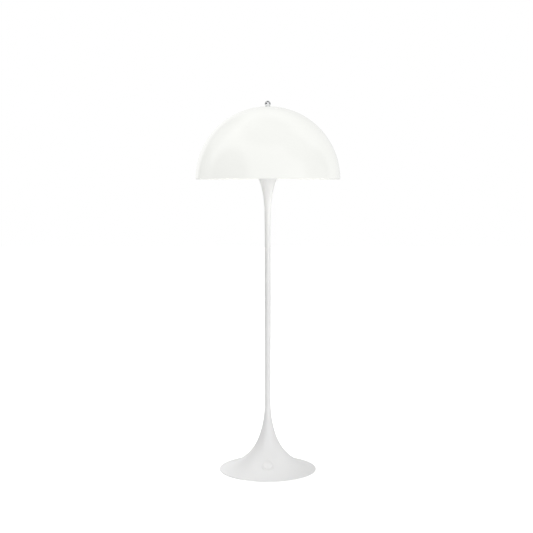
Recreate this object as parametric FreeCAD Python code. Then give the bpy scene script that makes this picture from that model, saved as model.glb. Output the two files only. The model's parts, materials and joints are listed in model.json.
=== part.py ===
import FreeCAD, Part
import math
import os

# A mushroom floor lamp: a half-sphere opal shade on a slender white stem, which opens into a small
# trumpet under the lamp bulb and into a wide trumpet foot on the floor.
# Millimetres, +Z up, origin on the floor under the stem's axis. The foot switch faces -Y and the
# mains cord's inlet faces +Y.

V = FreeCAD.Vector
AXIS = V(0, 0, 1)
CENTRE = V(0, 0, 0)

# ------------------------------------------------------------------ driving dimensions

SHADE_RADIUS = 250.0
SHADE_WALL = 3.0
RIM_HEIGHT = 1017.0            # the shade's lower edge above the floor

STEM_RADIUS = 10.0
STEM_BORE = 8.5
COLLAR_TOP = 236.0             # where the tube stands on the foot's collar
SEAM_HEIGHT = 855.0            # top of the tube, where the upper trumpet starts
SEAM_GAP = 0.8                 # shadow gap between the two

# Outer lines of the two trumpets as (radius, height), from the stem to the floor and from the
# mouth down to the stem.
FOOT_LINE = [
    (10.3, COLLAR_TOP), (12.4, 200.0), (15.7, 175.0), (20.9, 150.0), (35.9, 105.0),
    (56.6, 70.0), (84.6, 42.0), (119.2, 20.0), (150.0, 8.3), (167.0, 3.9),
]
FOOT_RIM = [(169.8, 2.4), (168.0, 0.8)]
FOOT_WALL = 2.6
MOUTH_LINE = [
    (82.0, 1062.0), (57.0, 1051.0), (41.0, 1036.0), (30.5, 1017.0), (20.6, 985.0),
    (15.4, 958.0), (12.4, 930.0), (11.2, 902.0), (10.4, SEAM_HEIGHT + SEAM_GAP),
]
MOUTH_WALL = 1.6

FOOT_RING_INNER = 138.0
FOOT_RING_OUTER = 148.0
PLATE_RADIUS = 155.0
PLATE_BOTTOM = 2.0
PLATE_TOP = 3.2
PLATE_SCREW_CIRCLE = 120.0
WEIGHT_SCREW_CIRCLE = 80.0
SCREW_HEAD_HEIGHT = 1.6

SWITCH_SEAT = (94.0, 35.3)     # middle of the foot switch on the foot's line
SWITCH_TRAVEL = 3.5
BEZEL_RADIUS = 21.5
BUTTON_RADIUS = 15.8

INLET_HEIGHT = 13.0            # axis of the cord's inlet above the floor
INLET_BORE = 3.1               # for a round mains cord 6 mm thick
BUSH_RADIUS = 4.2
NOSE_RADIUS = 6.2
INLET_INNER = 116.0
INLET_OUTER = 156.0

THREAD_RADIUS = 5.0            # M10 x 1 lamp thread
THREAD_FIT = 0.05              # clearance between a thread and its nut
NUT_FLATS = 14.0
NUT_HEIGHT = 4.0
WASHER_THICKNESS = 2.0
NIPPLE_BORE = 3.5
LEAD_RADIUS = 2.5
WIRE_RADIUS = 1.1

HOLDER_BOTTOM = 1006.0         # underside of the lampholder, on the carrier ring
BULB_TIP = 1029.0
BULB_LENGTH = 107.0
GLOBE_RADIUS = 30.0

LEG_COUNT = 3
LEG_RADIUS = 1.6

KNOB_RADIUS = 10.6
KNOB_FLAT = 7.6                # radius of the flat that the ball stands on
KNOB_SEAT = 1268.2             # underside of the ball knob
KNOB_WASHER = 8.2
STUD_RADIUS = 2.97             # M6 x 1
STUD_TOP = 1279.5

# ------------------------------------------------------------------ shaping tools


def smooth(corners):
    """One smooth curve through the corners, in the XZ plane."""
    curve = Part.BSplineCurve()
    curve.interpolate([V(r, 0, z) for r, z in corners])
    return curve


def turned(*steps):
    """A solid turned about the lamp's axis. Each step after the first corner (r, z) is one of:
    a corner, reached by a straight line; a pair of corners, the middle and end of an arc; or a
    list of corners, reached in turn by one smooth curve."""
    here = steps[0]
    edges = []
    for step in list(steps[1:]) + [steps[0]]:
        if isinstance(step, list):
            edges.append(smooth([here] + step).toShape())
            here = step[-1]
        elif isinstance(step[0], tuple):
            ends = [V(r, 0, z) for r, z in (here, step[0], step[1])]
            edges.append(Part.Arc(*ends).toShape())
            here = step[1]
        elif math.dist(here, step) > 1e-6:
            edges.append(Part.makeLine(V(here[0], 0, here[1]), V(step[0], 0, step[1])))
            here = step
    return Part.Face(Part.Wire(edges)).revolve(CENTRE, AXIS, 360)


def ring(inner, outer, low, high):
    """A plain ring about the axis, or a disc where inner is 0."""
    return turned((inner, low), (outer, low), (outer, high), (inner, high))


def inset(corners, wall):
    """The corners of a trumpet's line, moved through its wall at right angles."""
    curve = smooth(corners)
    inner = []
    for r, z in corners:
        along = curve.tangent(curve.parameter(V(r, 0, z)))[0]
        inner.append((r + wall * along.z, z - wall * along.x))
    return inner


def hexagon(across_flats, bore, low, high):
    """A hexagon nut about the axis."""
    reach = across_flats / math.sqrt(3)
    corners = [V(reach * math.cos(i * math.pi / 3), reach * math.sin(i * math.pi / 3), low)
               for i in range(7)]
    body = Part.Face(Part.makePolygon(corners)).extrude(V(0, 0, high - low))
    return body.cut(Part.makeCylinder(bore, high - low, V(0, 0, low)))


def moved(shape, x=0.0, y=0.0, z=0.0):
    """A copy of a shape, shifted."""
    copy = shape.copy()
    copy.translate(V(x, y, z))
    return copy


def around(shape, count, start=0.0):
    """Copies of a shape spread evenly round the axis, as one group."""
    copies = []
    for i in range(count):
        copy = shape.copy()
        copy.rotate(CENTRE, AXIS, start + i * 360.0 / count)
        copies.append(copy)
    return Part.makeCompound(copies)


def box(x, y, z):
    """A block from its three (low, high) pairs."""
    return Part.makeBox(x[1] - x[0], y[1] - y[0], z[1] - z[0], V(x[0], y[0], z[0]))


def wire_solid(name, route, radius):
    """A round wire along a route: straight runs joined by tangent arcs, each as large as its
    two runs allow. It prints the arcs' radii and how well the volume matches the length."""
    points = [V(*p) for p in route]
    edges = []
    radii = []
    here = points[0]
    for before, corner, after in zip(points, points[1:], points[2:]):
        back = (before - corner).normalize()
        ahead = (after - corner).normalize()
        half_turn = (math.pi - back.getAngle(ahead)) / 2
        cut = 0.45 * min((before - corner).Length, (after - corner).Length)
        bend = cut / math.tan(half_turn)
        radii.append(round(bend, 1))
        start = corner + back * cut
        end = corner + ahead * cut
        inward = (back + ahead).normalize()
        middle = corner + inward * (bend / math.cos(half_turn) - bend)
        edges.append(Part.makeLine(here, start))
        edges.append(Part.Arc(start, middle, end).toShape())
        here = end
    edges.append(Part.makeLine(here, points[-1]))
    path = Part.Wire(edges)
    section = Part.Wire(Part.makeCircle(radius, points[0], points[1] - points[0]))
    solid = path.makePipeShell([section], True, True)
    ratio = solid.Volume / (math.pi * radius ** 2 * path.Length)
    print(name, "length", round(path.Length, 1), "radii", radii, "volume ratio", round(ratio, 4))
    return solid


def pan_screw(shank, head, seat, length, head_height):
    """A screw driven upwards: its head hangs below the seat, with a cross recess."""
    screw = turned((0, seat - head_height), (head - 0.6, seat - head_height),
                   ((head - 0.2, seat - head_height + 0.2), (head, seat - head_height + 0.6)),
                   (head, seat), (shank, seat), (shank, seat + length), (0, seat + length))
    recess = head_height * 0.6
    for angle in (0, 90):
        slot = box((-head * 0.6, head * 0.6), (-0.4, 0.4),
                   (seat - head_height, seat - head_height + recess))
        slot.rotate(CENTRE, AXIS, angle)
        screw = screw.cut(slot)
    return screw


# ------------------------------------------------------------------ places worked out

foot_inner = inset(FOOT_LINE, FOOT_WALL)[2:]
collar_floor = foot_inner[0][1]
socket_bottom = collar_floor + 11.0
mouth_inner = inset(MOUTH_LINE, MOUTH_WALL)[:7]

foot_curve = smooth(FOOT_LINE)
seat_at = foot_curve.parameter(V(SWITCH_SEAT[0], 0, SWITCH_SEAT[1]))
seat_point = foot_curve.value(seat_at)
seat_slope = foot_curve.tangent(seat_at)[0]
SEAT = FreeCAD.Placement(
    V(0, -seat_point.x, seat_point.z),
    FreeCAD.Rotation(AXIS, V(0, seat_slope.z, seat_slope.x)),
)
print("switch seat", SEAT.Base, "outward", SEAT.Rotation.multVec(AXIS))


def on_seat(shape):
    """A shape drawn about its own +Z axis, set on the foot where the switch sits."""
    return shape.transformed(SEAT.toMatrix(), True)


pieces = {}

# ------------------------------------------------------------------ foot

# Rubber ring that the lamp stands on, stuck under the base plate.
pieces["foot_ring"] = ring(FOOT_RING_INNER, FOOT_RING_OUTER, 0.0, PLATE_BOTTOM)

# Steel plate that closes the foot from below and carries the weight.
plate_screw_spots = [(PLATE_SCREW_CIRCLE, angle) for angle in (0, 120, 240)]
weight_screw_spots = [(WEIGHT_SCREW_CIRCLE, angle) for angle in (25, 155, 205, 335)]
block_screw_spots = [(-4.5, 78.0), (4.5, 78.0)]


def drilled(shape, spots, radius, low, high):
    """Holes along +Z at (circle radius, angle) spots."""
    for reach, angle in spots:
        turn = math.radians(angle)
        spot = V(reach * math.cos(turn), reach * math.sin(turn), low)
        shape = shape.cut(Part.makeCylinder(radius, high - low, spot))
    return shape


def at_spots(shape, spots):
    """One copy of a shape at each (circle radius, angle) spot."""
    return Part.makeCompound([
        moved(shape, reach * math.cos(math.radians(angle)), reach * math.sin(math.radians(angle)))
        for reach, angle in spots
    ])


BLOCK_SCREW_BORE = 1.5
plate = ring(0.0, PLATE_RADIUS, PLATE_BOTTOM, PLATE_TOP)
plate = drilled(plate, plate_screw_spots, radius=2.3, low=0.0, high=10.0)
plate = drilled(plate, weight_screw_spots, radius=2.8, low=0.0, high=10.0)
for x, y in block_screw_spots:
    plate = plate.cut(Part.makeCylinder(BLOCK_SCREW_BORE, 10.0, V(x, y, 0)))
pieces["base_plate"] = plate
plate_screw = pan_screw(shank=1.95, head=4.0, seat=PLATE_BOTTOM, length=9.0,
                        head_height=SCREW_HEAD_HEIGHT)
pieces["plate_screws"] = at_spots(plate_screw, plate_screw_spots)

# Cast-iron weight: a thick ring open at the back for the wiring and at the front for the switch,
# with a channel under it for the switch's two wires.
weight = turned((22.0, PLATE_TOP), (105.0, PLATE_TOP), (105.0, 13.0), (72.0, 32.0),
                (45.0, 50.0), (22.0, 50.0))
wiring_opening = box((-32.0, 32.0), (0.0, 130.0), (0.0, 60.0))
switch_opening = box((-30.0, 30.0), (-130.0, -56.0), (0.0, 60.0))
wire_channel = box((-7.0, 7.0), (-60.0, 0.0), (0.0, 9.5))
for opening in (wiring_opening, switch_opening, wire_channel):
    weight = weight.cut(opening)
pieces["base_weight"] = drilled(weight, weight_screw_spots, radius=2.5, low=0.0, high=18.0)
weight_screw = pan_screw(shank=2.45, head=4.4, seat=PLATE_BOTTOM, length=13.0,
                         head_height=SCREW_HEAD_HEIGHT)
pieces["weight_screws"] = at_spots(weight_screw, weight_screw_spots)

# Trumpet foot: a lacquered aluminium casting. Its collar takes the stem, three bosses take the
# plate's screws, a thick pad carries the switch, and a short nose at the back holds the cord bush.
foot_outside = turned((0.0, FOOT_RIM[1][1]), (0.0, COLLAR_TOP), FOOT_LINE[0], FOOT_LINE[1:],
                      (FOOT_RIM[0], FOOT_RIM[1]))
foot = turned((STEM_BORE, socket_bottom), (STEM_BORE, COLLAR_TOP), FOOT_LINE[0], FOOT_LINE[1:],
              (FOOT_RIM[0], FOOT_RIM[1]), foot_inner[-1], foot_inner[-2::-1],
              (THREAD_RADIUS + 0.3, collar_floor), (THREAD_RADIUS + 0.3, socket_bottom))
BOSS_RADIUS = 5.0
BOSS_HEIGHT = 14.5
PAD_RADIUS = 25.0
PAD_BOTTOM = -6.0              # the pad's underside, along the switch's axis
FLANGE_BOTTOM = -1.5           # the switch's flange is let into the pad this far
BARREL = 18.8
bosses = at_spots(Part.makeCylinder(BOSS_RADIUS, BOSS_HEIGHT, V(0, 0, PLATE_TOP)),
                  plate_screw_spots)
switch_pad = on_seat(Part.makeCylinder(PAD_RADIUS, 10.0, V(0, 0, PAD_BOTTOM)))
foot = foot.fuse([part.common(foot_outside) for part in bosses.Solids + [switch_pad]])
wall_length = INLET_OUTER - INLET_INNER
nose = Part.makeCylinder(NOSE_RADIUS, wall_length, V(0, INLET_INNER, INLET_HEIGHT), V(0, 1, 0))
foot = foot.fuse(nose)
inlet = Part.makeCylinder(BUSH_RADIUS, 60.0, V(0, INLET_INNER - 10.0, INLET_HEIGHT), V(0, 1, 0))
foot = foot.cut(inlet)
foot = drilled(foot, plate_screw_spots, radius=2.0, low=0.0, high=13.0)
foot = foot.cut(on_seat(Part.makeCylinder(BEZEL_RADIUS + 0.2, 12.0, V(0, 0, FLANGE_BOTTOM))))
foot = foot.cut(on_seat(Part.makeCylinder(BARREL + 0.2, 12.0, V(0, 0, -10.0))))
pieces["base_trumpet"] = foot.removeSplitter()

# Moulded bush that lines the cord's inlet: a flange outside, a snap lip inside.
bush = ring(INLET_BORE, BUSH_RADIUS, 0.0, wall_length)
bush = bush.fuse(turned((INLET_BORE, wall_length), (5.6, wall_length), (5.6, wall_length + 0.9),
                        (5.0, wall_length + 1.5), (INLET_BORE, wall_length + 1.5)))
bush = bush.fuse(ring(INLET_BORE, 5.2, -1.5, 0.0)).removeSplitter()
bush.rotate(CENTRE, V(1, 0, 0), -90)
pieces["cord_bush"] = moved(bush, 0.0, INLET_INNER, INLET_HEIGHT)

# Three-way terminal block on the plate, where the mains cord meets the lamp's own wiring.
BLOCK_Y = (68.0, 88.0)
BLOCK_TOP = PLATE_TOP + 14.0
POLE_HEIGHT = 9.0
POLES = (-9.0, 0.0, 9.0)
block = box((-15.0, 15.0), BLOCK_Y, (PLATE_TOP, BLOCK_TOP))
clamp_screws = []
for x in POLES:
    for y in (72.5, 83.5):
        block = block.cut(Part.makeCylinder(2.0, 20.0, V(x, y, POLE_HEIGHT)))
        screw = Part.makeCylinder(1.9, 6.5, V(x, y, POLE_HEIGHT))
        screw = screw.cut(box((x - 2.0, x + 2.0), (y - 0.3, y + 0.3),
                              (POLE_HEIGHT + 5.7, POLE_HEIGHT + 7.0)))
        clamp_screws.append(screw)
FIXING_SEAT = BLOCK_TOP - 3.0
for x, y in block_screw_spots:
    block = block.cut(Part.makeCylinder(BLOCK_SCREW_BORE, 20.0, V(x, y, 0)))
    block = block.cut(Part.makeCylinder(2.9, 20.0, V(x, y, FIXING_SEAT)))
pieces["terminal_block"] = block
pieces["terminal_screws"] = Part.makeCompound(clamp_screws)
fixing = turned((0.0, PLATE_BOTTOM), (1.45, PLATE_BOTTOM), (1.45, FIXING_SEAT),
                (2.7, FIXING_SEAT), (2.7, BLOCK_TOP - 1.2), (0.0, BLOCK_TOP - 1.2))
fixing = fixing.cut(box((-2.7, 2.7), (-0.35, 0.35), (BLOCK_TOP - 2.0, BLOCK_TOP)))
pieces["block_screws"] = Part.makeCompound([moved(fixing, x, y) for x, y in block_screw_spots])

# ------------------------------------------------------------------ foot switch

# Heights here are along the switch's own axis, 0 at the foot's surface and + outwards.
FLANGE_TOP = 2.0
LEDGE = -3.0                   # the button's lip stops under this step
BEZEL_FLOOR = -13.0
BEZEL_BOTTOM = -15.0
BUTTON_BORE = BUTTON_RADIUS + 0.4
LIP_BORE = 17.3
NECK = 5.0
BOSS_BOTTOM = -5.0
NECK_TOP = BOSS_BOTTOM - SWITCH_TRAVEL - 0.5
PLUNGER = 3.0

# Moulded ring seen on the foot, with the threaded barrel that guides the button.
bezel = turned((BUTTON_BORE, LEDGE), (BUTTON_BORE, FLANGE_TOP - 0.4),
               ((BUTTON_BORE + 0.1, FLANGE_TOP - 0.1), (BUTTON_BORE + 0.4, FLANGE_TOP)),
               (BEZEL_RADIUS - 1.8, FLANGE_TOP),
               ((BEZEL_RADIUS - 0.5, FLANGE_TOP - 0.6), (BEZEL_RADIUS, FLANGE_TOP - 1.8)),
               (BEZEL_RADIUS, FLANGE_BOTTOM), (BARREL, FLANGE_BOTTOM), (BARREL, BEZEL_BOTTOM),
               (NECK + 0.2, BEZEL_BOTTOM), (NECK + 0.2, BEZEL_FLOOR), (LIP_BORE, BEZEL_FLOOR),
               (LIP_BORE, LEDGE))
pieces["switch_bezel"] = on_seat(bezel)

# Ring nut that clamps the bezel from inside the foot, with four spanner slots.
nut = ring(BARREL + THREAD_FIT, 23.5, -9.5, PAD_BOTTOM)
for angle in (45, 135):
    slot = box((-24.0, 24.0), (-2.0, 2.0), (-10.0, -7.5))
    slot = slot.cut(Part.makeCylinder(21.5, 4.0, V(0, 0, -10.5)))
    slot.rotate(CENTRE, AXIS, angle)
    nut = nut.cut(slot)
pieces["switch_nut"] = on_seat(nut)

# Push-push switch under the bezel's floor, its neck nut and its two contact lugs.
LUG_TOP = -26.0
LUG_END = -30.0
LUG_PLACES = (-4.0, 4.0)
PLUNGER_WELL = -23.0
pieces["switch_body"] = on_seat(turned(
    (0.0, LUG_TOP), (10.4, LUG_TOP), (11.0, LUG_TOP + 0.6), (11.0, BEZEL_BOTTOM),
    (NECK, BEZEL_BOTTOM), (NECK, NECK_TOP), (PLUNGER + 0.05, NECK_TOP),
    (PLUNGER + 0.05, PLUNGER_WELL), (0.0, PLUNGER_WELL)))
neck_nut = hexagon(NUT_FLATS, NECK + THREAD_FIT, BEZEL_FLOOR, BEZEL_FLOOR + 3.0)
pieces["switch_neck_nut"] = on_seat(neck_nut)
lugs = [box((x - 1.5, x + 1.5), (-0.5, 0.5), (LUG_END, LUG_TOP)) for x in LUG_PLACES]
pieces["switch_lugs"] = on_seat(Part.makeCompound(lugs))

# Dished push button with its retaining lip, and the steel plunger pressed into its boss.
BUTTON_UNDER = -1.2
BUTTON_INSIDE = 14.2
BUTTON_LIP = BUTTON_RADIUS + 1.1
LIP_TOP = LEDGE - 0.1
LIP_BOTTOM = LEDGE - 1.5
PLUNGER_END = -18.0
button = turned((0.0, 0.9), [(6.0, 1.15), (11.0, 1.9), (13.8, 2.75)],
                ((15.2, 2.7), (BUTTON_RADIUS, 1.6)), (BUTTON_RADIUS, LIP_TOP),
                (BUTTON_LIP, LIP_TOP), (BUTTON_LIP, LIP_BOTTOM), (BUTTON_INSIDE, LIP_BOTTOM),
                (BUTTON_INSIDE, BUTTON_UNDER), (NECK, BUTTON_UNDER), (NECK, BOSS_BOTTOM),
                (PLUNGER + 0.02, BOSS_BOTTOM), (PLUNGER + 0.02, BUTTON_UNDER),
                (0.0, BUTTON_UNDER))
pieces["switch_button"] = on_seat(button)
pieces["switch_plunger"] = on_seat(turned(
    (0.0, PLUNGER_END), (PLUNGER - 0.5, PLUNGER_END), (PLUNGER, PLUNGER_END + 0.5),
    (PLUNGER, BUTTON_UNDER), (0.0, BUTTON_UNDER)))

# Return spring between the bezel's floor and the button, its turns made of short arcs.
SPRING_WIRE = 0.6
SPRING_RADIUS = 11.6
SPRING_TURNS = 4
TURN_CORNERS = 12
spring_low = BEZEL_FLOOR + SPRING_WIRE
spring_rise = BUTTON_UNDER - SPRING_WIRE - spring_low
corner_reach = SPRING_RADIUS / math.cos(math.pi / TURN_CORNERS)
spring_corners = SPRING_TURNS * TURN_CORNERS
spring_route = []
for i in range(spring_corners + 1):
    turn = 2.0 * math.pi * i / TURN_CORNERS
    spring_route.append((corner_reach * math.cos(turn), corner_reach * math.sin(turn),
                         spring_low + spring_rise * i / spring_corners))
pieces["switch_spring"] = on_seat(wire_solid("switch_spring", spring_route, SPRING_WIRE))

# ------------------------------------------------------------------ wiring

# Two single wires from the block, under the weight and up to the switch's lugs.
lug_ends = [SEAT.multVec(V(x, 0, LUG_END)) for x in LUG_PLACES]
into_lug = SEAT.Rotation.multVec(AXIS)
CHANNEL_HEIGHT = 6.2
wires = []
for pole, end in zip((POLES[0], POLES[2]), lug_ends):
    drop = (end.z - CHANNEL_HEIGHT) / into_lug.z
    knee = end - into_lug * drop
    wires.append(wire_solid("switch_wire", [
        (pole, BLOCK_Y[0], POLE_HEIGHT), (pole, 57.0, POLE_HEIGHT),
        (pole, 42.0, CHANNEL_HEIGHT), (end.x, 14.0, CHANNEL_HEIGHT), tuple(knee), tuple(end)],
        WIRE_RADIUS))
pieces["switch_leads"] = Part.makeCompound(wires)

# Round two-core lead from the block, through the stem and up into the lampholder.
pieces["riser_lead"] = wire_solid("riser_lead", [
    (0.0, BLOCK_Y[0], POLE_HEIGHT), (0.0, 46.0, POLE_HEIGHT), (0.0, 18.0, 30.0),
    (0.0, 0.0, 110.0), (0.0, 0.0, HOLDER_BOTTOM + 6.0)], LEAD_RADIUS)

# ------------------------------------------------------------------ stem

# Washer, lock nut and hollow nipple that pull the stem down into the foot's collar.
washer_underside = collar_floor - WASHER_THICKNESS
pieces["stem_washer"] = ring(THREAD_RADIUS + 0.2, 11.0, washer_underside, collar_floor)
pieces["stem_lock_nut"] = hexagon(NUT_FLATS, THREAD_RADIUS, washer_underside - NUT_HEIGHT,
                                  washer_underside)
pieces["stem_nipple"] = ring(NIPPLE_BORE, THREAD_RADIUS - THREAD_FIT, collar_floor - 14.0,
                             socket_bottom + 26.0)

# Steel spigot, half in the collar and half in the tube.
SPIGOT_BORE = 6.5
spigot_top = COLLAR_TOP + 40.0
spigot_step = socket_bottom + 28.0
pieces["stem_spigot"] = turned(
    (THREAD_RADIUS, socket_bottom), (STEM_BORE, socket_bottom), (STEM_BORE, spigot_top),
    (SPIGOT_BORE, spigot_top), (SPIGOT_BORE, spigot_step), (THREAD_RADIUS, spigot_step))

# Lacquered steel tube.
pieces["stem_tube"] = ring(STEM_BORE, STEM_RADIUS, COLLAR_TOP, SEAM_HEIGHT)

# Turned coupler that joins tube and upper trumpet; its collar shows as the fine line of the seam.
trumpet_bottom = SEAM_HEIGHT + SEAM_GAP
coupler_bottom = SEAM_HEIGHT - 40.0
coupler_top = trumpet_bottom + 34.0
coupler_step = coupler_top - 22.0
COUPLER_BORE = 6.0
COUPLER_COLLAR = STEM_RADIUS - 0.4
pieces["stem_coupler"] = turned(
    (COUPLER_BORE, coupler_bottom), (STEM_BORE, coupler_bottom), (STEM_BORE, SEAM_HEIGHT),
    (COUPLER_COLLAR, SEAM_HEIGHT), (COUPLER_COLLAR, trumpet_bottom),
    (STEM_BORE, trumpet_bottom), (STEM_BORE, coupler_top), (THREAD_RADIUS, coupler_top),
    (THREAD_RADIUS, coupler_step), (COUPLER_BORE, coupler_step))

# ------------------------------------------------------------------ upper trumpet and carrier

# Lacquered spun trumpet; its mouth throws the light up into the shade.
mouth_edge = (MOUTH_LINE[0][0] + 0.5, MOUTH_LINE[0][1] + 0.9)
pieces["upper_trumpet"] = turned(
    (STEM_BORE, trumpet_bottom), (STEM_BORE, coupler_top + 6.0), mouth_inner[-1],
    mouth_inner[-2::-1], (mouth_edge, MOUTH_LINE[0]), MOUTH_LINE[1:])

# Hollow nipple from the coupler to the lampholder; a disc and a nut on it hold the trumpet.
pieces["holder_nipple"] = ring(NIPPLE_BORE, THREAD_RADIUS - THREAD_FIT, coupler_top - 20.0,
                               HOLDER_BOTTOM + 6.0)
disc_bottom = MOUTH_LINE[5][1] - WASHER_THICKNESS / 2
disc_top = disc_bottom + WASHER_THICKNESS
pieces["centring_disc"] = ring(THREAD_RADIUS, mouth_inner[5][0] - 0.6, disc_bottom, disc_top)
pieces["trumpet_nut"] = hexagon(NUT_FLATS, THREAD_RADIUS, disc_top, disc_top + NUT_HEIGHT)

# Carrier of the shade: a ring under the lampholder, three bent wires round the bulb and a hub.
CARRIER_BOTTOM = HOLDER_BOTTOM - 2.0
HUB_TOP = RIM_HEIGHT + 245.5
HUB_BOTTOM = HUB_TOP - 8.0
HUB_RADIUS = 16.0
HUB_BORE = 3.0
LEG_FOOT = 21.0                # the wires' distance from the axis, on the ring
LEG_BELLY = 44.0               # beside the bulb
LEG_HEAD = 12.0                # and under the hub
pieces["holder_nut"] = hexagon(NUT_FLATS, THREAD_RADIUS, CARRIER_BOTTOM - NUT_HEIGHT,
                               CARRIER_BOTTOM)
pieces["carrier_ring"] = ring(THREAD_RADIUS, 23.2, CARRIER_BOTTOM, HOLDER_BOTTOM)
leg = wire_solid("carrier_leg", [
    (LEG_FOOT, 0.0, HOLDER_BOTTOM), (LEG_FOOT, 0.0, HOLDER_BOTTOM + 12.0),
    (LEG_BELLY, 0.0, MOUTH_LINE[0][1]), (LEG_BELLY, 0.0, HUB_BOTTOM - 50.0),
    (LEG_HEAD, 0.0, HUB_BOTTOM - 8.0), (LEG_HEAD, 0.0, HUB_BOTTOM)], LEG_RADIUS)
pieces["carrier_legs"] = around(leg, LEG_COUNT, 30.0)
pieces["carrier_hub"] = turned(
    (HUB_BORE, HUB_BOTTOM), (HUB_RADIUS - 1.0, HUB_BOTTOM), (HUB_RADIUS, HUB_BOTTOM + 1.0),
    (HUB_RADIUS, HUB_TOP - 1.0), (HUB_RADIUS - 1.0, HUB_TOP), (HUB_BORE, HUB_TOP))
pieces["carrier_stud"] = turned((0.0, HUB_BOTTOM), (STUD_RADIUS, HUB_BOTTOM),
                                (STUD_RADIUS, STUD_TOP - 0.8), (STUD_RADIUS - 0.8, STUD_TOP),
                                (0.0, STUD_TOP))

# ------------------------------------------------------------------ lampholder and bulb

# Screw lampholder: cap, insert with its contact tongue, screw shell and outer sleeve.
h = HOLDER_BOTTOM
pieces["lampholder_cap"] = turned(
    (THREAD_RADIUS, h), (16.0, h), (17.0, h + 1.0), (17.0, h + 16.0), (15.0, h + 16.0),
    (15.0, h + 6.0), (THREAD_RADIUS, h + 6.0))
insert = ring(0.0, 14.8, h + 6.0, h + 20.0)
for x in (-7.0, 7.0):
    insert = insert.cut(Part.makeCylinder(1.4, 14.0, V(x, 0, h + 6.0)))
pieces["lampholder_insert"] = insert
tongue = box((-3.0, 3.0), (-9.0, 4.0), (h + 20.0, h + 20.8))
pieces["lampholder_contact"] = tongue.fuse(ring(0.0, 2.5, h + 20.8, BULB_TIP)).removeSplitter()
pieces["lampholder_shell"] = ring(13.6, 14.2, h + 20.0, h + 46.0)
pieces["lampholder_sleeve"] = turned(
    (14.9, h + 16.0), (19.5, h + 16.0), (19.5, h + 54.0), (18.5, h + 55.0), (15.4, h + 55.0),
    (15.4, h + 53.0), (17.5, h + 52.0), (17.5, h + 19.0), (14.9, h + 19.0))

# Screw-cap lamp: solder tip, black insulator, threaded cap, housing and opal globe.
t = BULB_TIP
GLOBE_WALL = 1.2
GLOBE_DEPTH = 18.0             # of the globe's open edge below its centre
globe_centre = t + BULB_LENGTH - GLOBE_RADIUS
globe_bottom = globe_centre - GLOBE_DEPTH
globe_edge = math.sqrt(GLOBE_RADIUS ** 2 - GLOBE_DEPTH ** 2)
globe_inside = math.sqrt((GLOBE_RADIUS - GLOBE_WALL) ** 2 - GLOBE_DEPTH ** 2)
pieces["bulb_tip"] = turned((0.0, t), (2.0, t), (3.8, t + 0.9), (4.4, t + 2.2), (0.0, t + 2.2))
pieces["bulb_insulator"] = turned((0.0, t + 2.2), (4.4, t + 2.2), (9.0, t + 5.0),
                                  (9.0, t + 6.5), (0.0, t + 6.5))
thread = []
for i in range(5):
    low = t + 8.0 + i * 3.6
    thread += [((13.1, low + 0.9), (12.4, low + 1.8)), ((11.9, low + 2.7), (12.4, low + 3.6))]
pieces["bulb_cap"] = turned((9.0, t + 5.2), (12.4, t + 8.0), *thread, (10.8, t + 26.0),
                            (10.8, t + 9.5), (9.0, t + 6.4))
pieces["bulb_housing"] = turned(
    (0.0, t + 14.0), (10.8, t + 14.0), (10.8, t + 26.0), (13.6, t + 26.0),
    [(15.5, t + 38.0), (20.0, t + 50.0), (globe_edge, globe_bottom)], (0.0, globe_bottom))
pieces["bulb_globe"] = turned(
    (globe_inside, globe_bottom), (globe_edge, globe_bottom),
    ((GLOBE_RADIUS, globe_centre), (0.0, globe_centre + GLOBE_RADIUS)),
    (0.0, globe_centre + GLOBE_RADIUS - GLOBE_WALL),
    ((GLOBE_RADIUS - GLOBE_WALL, globe_centre), (globe_inside, globe_bottom)))

# ------------------------------------------------------------------ shade and knob


def on_sphere(radius, reach):
    """The corner of a shade's line at a distance from the axis."""
    return (reach, RIM_HEIGHT + math.sqrt(radius ** 2 - reach ** 2))


# Soft washer between hub and shade.
INNER_RADIUS = SHADE_RADIUS - SHADE_WALL
SHADE_HOLE = 3.4
pieces["shade_seat"] = ring(3.2, 15.0, HUB_TOP, HUB_TOP + 1.0)

# Half-sphere of opal acrylic with a rounded rim and a hole at the top for the stud.
rim_round = SHADE_WALL / 2
edge = RIM_HEIGHT + rim_round
diagonal = math.sqrt(0.5)
pieces["shade"] = turned(
    (INNER_RADIUS, edge), ((SHADE_RADIUS - rim_round, RIM_HEIGHT), (SHADE_RADIUS, edge)),
    (on_sphere(SHADE_RADIUS, SHADE_RADIUS * diagonal), on_sphere(SHADE_RADIUS, SHADE_HOLE)),
    on_sphere(INNER_RADIUS, SHADE_HOLE),
    (on_sphere(INNER_RADIUS, INNER_RADIUS * diagonal), (INNER_RADIUS, edge)))

# Chrome washer that stays on the knob, and the chrome ball knob with its blind thread.
WASHER_BORE = 3.2
WASHER_CHAMFER = 0.3
washer_bottom = KNOB_SEAT - 1.15
washer_face = KNOB_WASHER - WASHER_CHAMFER
pieces["knob_washer"] = turned(
    (WASHER_BORE, washer_bottom), (washer_face, washer_bottom),
    (KNOB_WASHER, washer_bottom + WASHER_CHAMFER), (KNOB_WASHER, KNOB_SEAT - WASHER_CHAMFER),
    (washer_face, KNOB_SEAT), (WASHER_BORE, KNOB_SEAT))
KNOB_THREAD = STUD_RADIUS + 0.06
knob_centre = KNOB_SEAT + math.sqrt(KNOB_RADIUS ** 2 - KNOB_FLAT ** 2)
thread_end = STUD_TOP + 0.7
pieces["finial_knob"] = turned(
    (KNOB_THREAD, KNOB_SEAT), (KNOB_FLAT, KNOB_SEAT),
    ((KNOB_RADIUS, knob_centre), (0.0, knob_centre + KNOB_RADIUS)),
    (0.0, thread_end), (KNOB_THREAD, thread_end))

# ------------------------------------------------------------------ export

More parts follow.
